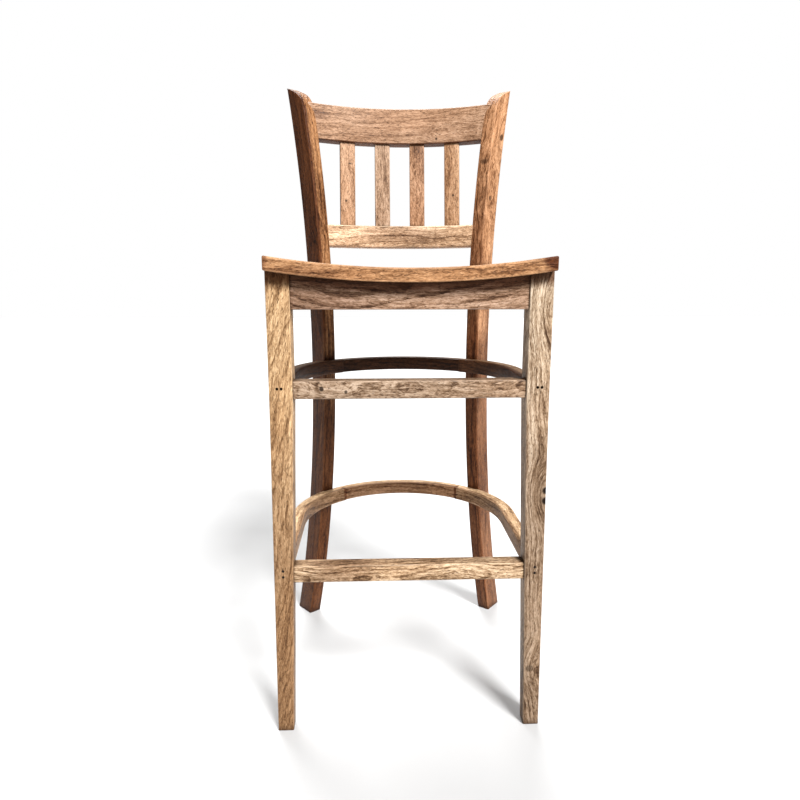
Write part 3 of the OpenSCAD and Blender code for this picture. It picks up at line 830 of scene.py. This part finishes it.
def seat_piece(name, material):
    """Saddle seat: a dished board, narrower at the back, its edges well eased."""
    rear = SEAT_HIGH.y
    front = SEAT_LOW.y
    depths = []
    for step in range(SEAT_EASE_STEPS + 1):
        angle = math.radians(90 * step / SEAT_EASE_STEPS)
        depths.append((1 - math.cos(angle), 1 - math.sin(angle)))
    rows = [(front, 0.0, FLAT_INSET)]
    rows += [(front, drop[0], drop[1]) for drop in depths]
    rows += [(front + (rear - front) * part / SEAT_STEPS_BACK, None, 0.0)
             for part in range(1, SEAT_STEPS_BACK)]
    rows += [(rear, drop[0], drop[1]) for drop in reversed(depths)]
    rows += [(rear, 0.0, FLAT_INSET)]
    points, coordinates, wear_and_highlight, faces = [], [], [], []
    for y, depth, inset in rows:
        toward = 1 if y == front else -1
        place_y = y if depth is None else y + toward * depth * SEAT_EASE_TOP
        wide = SEAT_HALF + (SEAT_REAR_HALF - SEAT_HALF) * (place_y - front) / (rear - front)
        wide -= SEAT_EASE_TOP * inset * 0.6
        loop = seat_section(wide, inset)
        for x, z, edge in loop:
            points.append(Vector((x, place_y, z)))
            coordinates.append((x, place_y, z - SEAT_HIGH.z))
            wear_and_highlight.append(0.0 if inset == FLAT_INSET else max(edge, 1.0 if inset > 0.02 else 0.0))
    ring = len(loop)
    for level in range(len(rows) - 1):
        low = level * ring
        for corner in range(ring):
            step = (corner + 1) % ring
            faces.append((low + corner, low + step, low + ring + step, low + ring + corner))
    faces.append(tuple(reversed(range(ring))))
    faces.append(tuple(range(len(points) - ring, len(points))))
    return mesh_piece(name, points, faces, coordinates, wear_and_highlight, material)


def seat_section(wide, inset):
    """Front view of the seat at one depth, as a closed loop of points."""
    top, under = SEAT_EASE_TOP, SEAT_EASE_UNDER
    loop = []

    def add_top(x, drop, edge):
        loop.append((x, seat_top(x) - top * (inset + drop), edge))

    def add_under(x, lift, edge):
        loop.append((x, seat_underside(x) + under * (inset + lift), edge))

    for step in range(SEAT_STEPS_ACROSS + 1):
        add_top((wide - top) * (2 * step / SEAT_STEPS_ACROSS - 1), 0, 0.0)
    for angle in corner_angles(90, 0, skip_first=True):
        add_top(wide - top + top * math.cos(angle), 1 - math.sin(angle), 1.0)
    for angle in corner_angles(0, -90):
        add_under(wide - under + under * math.cos(angle), 1 + math.sin(angle), 1.0)
    for step in range(1, SEAT_STEPS_ACROSS + 1):
        add_under((wide - under) * (1 - 2 * step / SEAT_STEPS_ACROSS), 0, 0.0)
    for angle in corner_angles(-90, -180, skip_first=True):
        add_under(under - wide + under * math.cos(angle), 1 + math.sin(angle), 1.0)
    for angle in corner_angles(180, 90)[:-1]:
        add_top(top - wide + top * math.cos(angle), 1 - math.sin(angle), 1.0)
    return loop


def corner_angles(first, last, skip_first=False, steps=4):
    """Angles of the points around a rounded corner."""
    return [math.radians(first + (last - first) * step / steps)
            for step in range(1 if skip_first else 0, steps + 1)]


def side_apron_stations():
    """Right side apron, from the front leg to the back post, under the seat."""
    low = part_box("right_side_apron")[0].z
    front = Vector((SIDE_APRON_FRONT, FRONT + LEG_DEPTH, 0))
    back = to_stool(POST_PLANE, post_front(SIDE_APRON_MIDDLE))
    direction = (back - front).normalized()
    out = Vector((direction.y, -direction.x, 0))
    stations = []
    length = (back - front).length
    for s in (-SUNK, length * 0.33, length * 0.66, length + SIDE_APRON_SUNK):
        place = front + direction * s
        half = (seat_underside(place.x) + APRON_HOUSED - low) / 2
        stations.append(Station(Vector((place.x, place.y, low + half)), Z, out, half,
                                SIDE_APRON_HALF_THICK, s))
    return stations


def apron_piece(name, node, x_half, material):
    """Front or rear apron. Its top follows the underside of the seat, and so does its grain."""
    low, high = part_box(node)
    depth = (low.y + high.y) / 2
    stations = []
    steps = 24
    for step in range(steps + 1):
        x = x_half * (2 * step / steps - 1)
        half = (seat_underside(x) + APRON_HOUSED - low.z) / 2
        stations.append(Station(Vector((x, depth, low.z + half)), Z, Y, half,
                                (high.y - low.y) / 2, x, -half))
    return board(name, stations, material)


# ---- the woods of the single boards ----

# A reach that covers a board from end to end or from face to face
WHOLE = 3.0

# Painted shade on the inner faces of the bent hoops
UPPER_INNER_FACE_SHADE = ((0.0, -0.014, 0.0), (WHOLE, 0.012, 0.1), 0.92)
LOWER_INNER_FACE_SHADE = ((0.0, -0.014, 0.0), (WHOLE, 0.012, 0.1), 0.8)
LOWER_SIDE_INNER_FACE_SHADE = ((0.0, -0.014, 0.0), (WHOLE, 0.010, 0.1), 0.6)

# Grime along the seams of the hoop laps, seen on the inner faces
HOOP_MIDDLE = HOOP_RADIUS - HOOP_THICK / 2
BACK_SEAM_PLACE = LAP_START * HOOP_MIDDLE
SIDE_SEAM_PLACE = (math.radians(90) - LAP_START) * HOOP_MIDDLE
SIDE_SEAM = ((SIDE_SEAM_PLACE, -0.014, 0.0), (0.006, 0.02, 0.1), 1.0)
BACK_SEAMS = [((place, -0.012, 0.0), (0.004, 0.02, 0.1), 1.0)
              for place in (-BACK_SEAM_PLACE, BACK_SEAM_PLACE)]

# The posts darken to a slightly greyer brown than the rest, in darker wood and in the painted shade below
# the seat
POST_STAIN_AND_SHADE = (0.25, 0.145, 0.085)

# Painted shadow of the seat on the tops of the front legs and on the front apron, and painted shade on
# the underside of the crest rail
SEAT_SHADOW_ON_LEG = ((0.762, 0.0, 0.0), (0.036, 1.0, 1.0), 0.9)
SEAT_SHADOW_ON_APRON = ((0.0, 0.006, 0.0), (WHOLE, 0.028, 1.0), 0.9)
CREST_UNDERSIDE_SHADE = ((0.0, -0.037, 0.0), (WHOLE, 0.005, 1.0), 0.9)

# A knot with a dark heart of 0 only bends the grain around it
WOODS = {
    "seat": Wood((0.3, 0.151, 0.068), ring=0.006, pith=(0.11, 0.05), wave=0.006, contrast=1.1,
                 patch=0.35, edge_wear_and_highlight=0.55, seed=1.0,
                 stains_and_shade=[((0.214, -0.23, 0.0), (0.026, 0.1, 0.03), 1.0),
                         ((-0.214, -0.23, 0.0), (0.010, 0.1, 0.03), 0.7),
                         ((-0.17, -0.23, -0.03), (0.09, 0.06, 0.02), 0.4)]),
    # The front legs: darker towards the foot, and the painted shadow of the seat at their tops
    "front_left_leg": Wood((0.36, 0.222, 0.113), slope=0.30, ring=0.013, ring_depth=0.28,
                           pith=(0.03, 0.06), contrast=0.8, seed=2.0,
                           stains_and_shade=[((0.0, 0.0, 0.0), (0.55, 0.3, 0.3), 0.5), SEAT_SHADOW_ON_LEG]),
    "front_right_leg": Wood((0.33, 0.237, 0.155), ring=0.008, ring_depth=0.35, pith=(0.06, 0.03),
                            contrast=1.05, seed=3.0,
                            knots=[((0.414, 0.0165, -0.017), 0.0095, 1.0),
                                   ((0.397, 0.0165, -0.017), 0.0105, 1.0),
                                   ((0.105, -0.004, -0.014), 0.010, 0.5),
                                   ((0.70, 0.020, -0.019), 0.014, 0.0)],
                            stains_and_shade=[((0.15, 0.0, 0.0), (0.55, 0.3, 0.3), 0.45), SEAT_SHADOW_ON_LEG]),
    # The left post: darker on its outer broad face from below the seat to the top, and darker below the
    # seat, partly a darker tone of the wood and partly painted shade of the seat
    "left_back_post": Wood((0.24, 0.113, 0.047), ring=0.009, pith=(0.04, 0.05), seed=4.0,
                           knots=[((0.815, -0.010, 0.013), 0.006, 0.8)],
                           stains_and_shade=[((0.9, 0.0, 0.0135), (0.6, 0.08, 0.008), 0.93),
                                   ((0.15, 0.0, 0.0), (0.49, 0.3, 0.3), 0.86)],
                           stain_and_shade_tint=POST_STAIN_AND_SHADE),
    # The right post: darker below the seat, partly a darker tone of the wood and partly painted shade of
    # the seat, and painted shade on its front narrow face below the seat, which faces in towards the
    # middle
    "right_back_post": Wood((0.35, 0.175, 0.085), ring=0.010, pith=(0.03, 0.07), contrast=0.95,
                            seed=5.0,
                            knots=[((1.02, 0.012, 0.013), 0.010, 0.8),
                                   ((0.90, -0.008, 0.013), 0.008, 0.7),
                                   ((0.97, -0.020, 0.0), 0.009, 0.6)],
                            stains_and_shade=[((0.2, 0.0, 0.0), (0.6, 0.3, 0.3), 0.72),
                                    ((0.35, -0.0235, 0.0), (0.62, 0.008, 0.3), 0.92)],
                            stain_and_shade_tint=POST_STAIN_AND_SHADE),
    # The front apron: darker towards its left end, and the painted shadow of the seat along its top
    "front_apron": Wood((0.285, 0.174, 0.11), ring=0.007, pith=(-0.02, 0.045), wave=0.018,
                        wave_length=0.5, contrast=1.15, seed=6.2, ring_depth=0.5,
                        stains_and_shade=[((-0.19, 0.0, 0.0), (0.16, 0.2, 0.2), 0.45), SEAT_SHADOW_ON_APRON]),
    "rear_apron": Wood((0.16, 0.09, 0.05), seed=7.0),
    "left_side_apron": Wood((0.15, 0.08, 0.045), seed=8.0),
    "right_side_apron": Wood((0.16, 0.085, 0.05), seed=9.0),
    "upper_front_stretcher": Wood((0.24, 0.158, 0.1), ring=0.007, pith=(0.0, 0.03), wave=0.014,
                                  wave_length=0.16, ring_depth=0.5, contrast=1.2, seed=10.0,
                                  edge_wear_and_highlight=0.55,
                                  knots=[((-0.135, 0.002, -0.014), 0.0055, 0.9),
                                         ((-0.098, -0.003, -0.014), 0.004, 0.8)]),
    "footrest_stretcher": Wood((0.345, 0.225, 0.13), ring=0.007, pith=(0.005, 0.028), wave=0.012,
                               wave_length=0.2, ring_depth=0.45, contrast=1.25, seed=11.3,
                               edge_wear_and_highlight=0.55,
                               stains_and_shade=[((-0.11, 0.0, 0.0), (0.07, 0.04, 0.04), 0.45)]),
    # The upper hoops: a much darker tone than the lower ones, partly painted shade of the seat above
    # them, and painted shade on their inner faces
    "upper_hoop_left": Wood((0.16, 0.095, 0.052), stains_and_shade=[UPPER_INNER_FACE_SHADE], seed=12.0),
    "upper_hoop_right": Wood((0.16, 0.095, 0.052), stains_and_shade=[UPPER_INNER_FACE_SHADE], seed=13.0),
    "upper_hoop_back": Wood((0.13, 0.075, 0.04), stains_and_shade=[UPPER_INNER_FACE_SHADE], seed=14.0),
    # The lower hoops: painted shade on their inner faces, and grime along the seams of their laps
    "lower_hoop_left": Wood((0.45, 0.295, 0.165), seed=15.0,
                            stains_and_shade=[LOWER_SIDE_INNER_FACE_SHADE, SIDE_SEAM]),
    "lower_hoop_right": Wood((0.43, 0.28, 0.157), seed=16.0,
                             stains_and_shade=[LOWER_SIDE_INNER_FACE_SHADE, SIDE_SEAM]),
    "lower_hoop_back": Wood((0.46, 0.305, 0.175), seed=17.0,
                            stains_and_shade=[LOWER_INNER_FACE_SHADE, *BACK_SEAMS]),
    # The crest rail: a dark mark high up near its left end, and painted shade on its underside
    "crest_rail": Wood((0.29, 0.167, 0.098), ring=0.012, pith=(0.07, 0.10), ring_depth=0.2,
                       contrast=0.85, seed=18.0, knots=[((0.075, -0.026, -0.012), 0.004, 0.8)],
                       stains_and_shade=[((-0.17, 0.012, 0.0), (0.03, 0.012, 0.1), 0.45), CREST_UNDERSIDE_SHADE]),
    "lower_back_rail": Wood((0.5, 0.34, 0.215), ring=0.011, pith=(0.05, 0.04), ring_depth=0.3,
                            seed=19.0, stains_and_shade=[((0.0, 0.004, 0.0), (0.11, 0.018, 0.1), 0.35)]),
    "back_slat_1": Wood((0.32, 0.18, 0.1), seed=20.0, ring_depth=0.2, contrast=0.9,
                        knots=[((0.122, 0.004, -0.006), 0.0035, 0.8),
                               ((0.048, -0.004, -0.006), 0.0035, 0.8)]),
    "back_slat_2": Wood((0.31, 0.2, 0.128), seed=21.0, ring_depth=0.2, contrast=0.9),
    "back_slat_3": Wood((0.3, 0.165, 0.092), seed=22.0, ring_depth=0.25),
    "back_slat_4": Wood((0.34, 0.193, 0.104), seed=23.0, ring_depth=0.25, contrast=0.9,
                        knots=[((0.06, 0.003, -0.006), 0.0035, 0.8)]),
}


def timber(name):
    """The material of a named board."""
    return wood_material("wood_" + name, WOODS[name])


def build_stool():
    """Every board of the stool in place of its CAD node."""
    for word, side in SIDES.items():
        leg = f"front_{word}_leg"
        show(board(f"{leg}_board", sided(leg_stations(), side), timber(leg), radius=LEG_ROUND),
             "leg_wood", leg)
        post = f"{word}_back_post"
        show(board(f"{post}_board", sided(post_stations(), side), timber(post), ease=POST_EASE),
             "post_wood", post)
        apron = f"{word}_side_apron"
        show(board(f"{apron}_board", sided(side_apron_stations(), side), timber(apron)),
             "rail_wood", apron)
        for level, z in HOOP_LEVELS.items():
            node = f"{level}_hoop_{word}"
            face = FRONT + leg_back(z)
            show(board(f"{node}_bend", sided(hoop_side_stations(z, face), side), timber(node),
                       ease=HOOP_EASE), "hoop_wood", node)
    for level, z in HOOP_LEVELS.items():
        node = f"{level}_hoop_back"
        show(board(f"{node}_bend", hoop_back_stations(z), timber(node), ease=HOOP_EASE),
             "hoop_wood", node)
    show(seat_piece("seat_board", timber("seat")), "seat_wood", "seat")
    show(apron_piece("front_apron_board", "front_apron", LEG_INNER + SUNK, timber("front_apron")),
         "rail_wood", "front_apron")
    show(apron_piece("rear_apron_board", "rear_apron", REAR_APRON_HALF, timber("rear_apron")),
         "rail_wood", "rear_apron")
    for node in ("upper_front_stretcher", "footrest_stretcher"):
        show(level_board(node, LEG_INNER + 2 * SUNK, timber(node), f"{node}_board"),
             "rail_wood", node)
    for node, rail in (("crest_rail", CREST), ("lower_back_rail", LOWER_RAIL)):
        show(board(f"{node}_board", rail_stations(*rail), timber(node), radius=RAIL_ROUND),
             "back_wood", node)
    for number, x in enumerate(SLAT_OFFSETS, start=1):
        node = f"back_slat_{number}"
        show(board(f"{node}_board", slat_stations(x), timber(node)), "back_wood", node)


def dress_hardware():
    """Materials of the CAD nodes that stay as they are."""
    bare = wood_material("wood_bare", Wood((0.30, 0.20, 0.11), rough=0.6), carried=True)
    for node in ("front_left_corner_block", "front_right_corner_block",
                 "rear_left_corner_block", "rear_right_corner_block", "hoop_dowels"):
        dress(node, bare)
    dress("stretcher_nails", metal_material("dark_nail_steel", (0.03, 0.022, 0.018), 0.6))
    zinc = metal_material("zinc_steel", (0.42, 0.40, 0.37), 0.38)
    for node in ("hoop_screws", "block_screws", "seat_screws"):
        dress(node, zinc)


# ---- floor, light and camera ----

FLOOR_REACH = 12.0
FLOOR_TONE = 0.5
AMBIENT = 0.25
BACKDROP = 1.0

EYE = (-0.056, -1.185, 0.739)
EYE_DOWN = math.radians(10.79)
EYE_RIGHT = math.radians(2.25)
LENS = 29.25
LENS_SHIFT = (0.0016, 0.006)


def stage():
    """Plain pale floor, clear when seen from below so that the underside can be looked at."""
    mesh = bpy.data.meshes.new("floor")
    corners = [(-1, -1), (1, -1), (1, 1), (-1, 1)]
    mesh.from_pydata([(x * FLOOR_REACH, y * FLOOR_REACH, 0) for x, y in corners], [],
                     [(0, 1, 2, 3)])
    floor = bpy.data.objects.new("floor", mesh)
    bpy.context.scene.collection.objects.link(floor)
    g = Graph("pale_floor")
    g.shader.inputs["Base Color"].default_value = rgba((FLOOR_TONE,) * 3)
    g.shader.inputs["Roughness"].default_value = 0.9
    g.shader.inputs["Specular IOR Level"].default_value = 0.1
    clear = g.node("ShaderNodeBsdfTransparent")
    sided_floor = g.node("ShaderNodeMixShader")
    g.link(g.node("ShaderNodeNewGeometry").outputs["Backfacing"], sided_floor.inputs[0])
    g.link(g.shader.outputs[0], sided_floor.inputs[1])
    g.link(clear.outputs[0], sided_floor.inputs[2])
    g.link(sided_floor.outputs[0], g.tree.nodes["Material Output"].inputs["Surface"])
    mesh.materials.append(g.material)


def sun(name, azimuth, height, strength, softness):
    """Distant lamp. Azimuth 0 shines from the front, 90 from the right."""
    data = bpy.data.lights.new(name, "SUN")
    data.energy = strength
    data.angle = math.radians(softness)
    lamp = bpy.data.objects.new(name, data)
    lamp.rotation_euler = (math.radians(90 - height), 0, math.radians(azimuth))
    bpy.context.scene.collection.objects.link(lamp)


def light():
    """White backdrop, weak light from all round, a strong key from the front right and a rim."""
    world = bpy.data.worlds.new("studio")
    bpy.context.scene.world = world
    world.use_nodes = True
    tree = world.node_tree
    background = tree.nodes["Background"]
    background.inputs["Color"].default_value = (1, 1, 1, 1)
    seen = tree.nodes.new("ShaderNodeLightPath").outputs["Is Camera Ray"]
    strength = tree.nodes.new("ShaderNodeMapRange")
    strength.inputs["To Min"].default_value = AMBIENT
    strength.inputs["To Max"].default_value = BACKDROP
    tree.links.new(seen, strength.inputs["Value"])
    tree.links.new(strength.outputs["Result"], background.inputs["Strength"])
    sun("key", azimuth=28, height=42, strength=6.7, softness=18)
    sun("rim", azimuth=190, height=60, strength=4.0, softness=30)
    bpy.context.scene.view_settings.view_transform = "Standard"
    bpy.context.scene.view_settings.look = "None"


def camera():
    """Camera a little left of the middle, at seat height, looking down at the stool."""
    data = bpy.data.cameras.new("camera")
    data.sensor_width = 36.0
    data.lens = LENS
    data.shift_x, data.shift_y = LENS_SHIFT
    eye = bpy.data.objects.new("camera", data)
    eye.location = EYE
    eye.rotation_euler = (math.radians(90) - EYE_DOWN, 0, -EYE_RIGHT)
    bpy.context.scene.collection.objects.link(eye)
    bpy.context.scene.camera = eye


build_stool()
dress_hardware()
stage()
light()
camera()

bpy.context.view_layer.update()
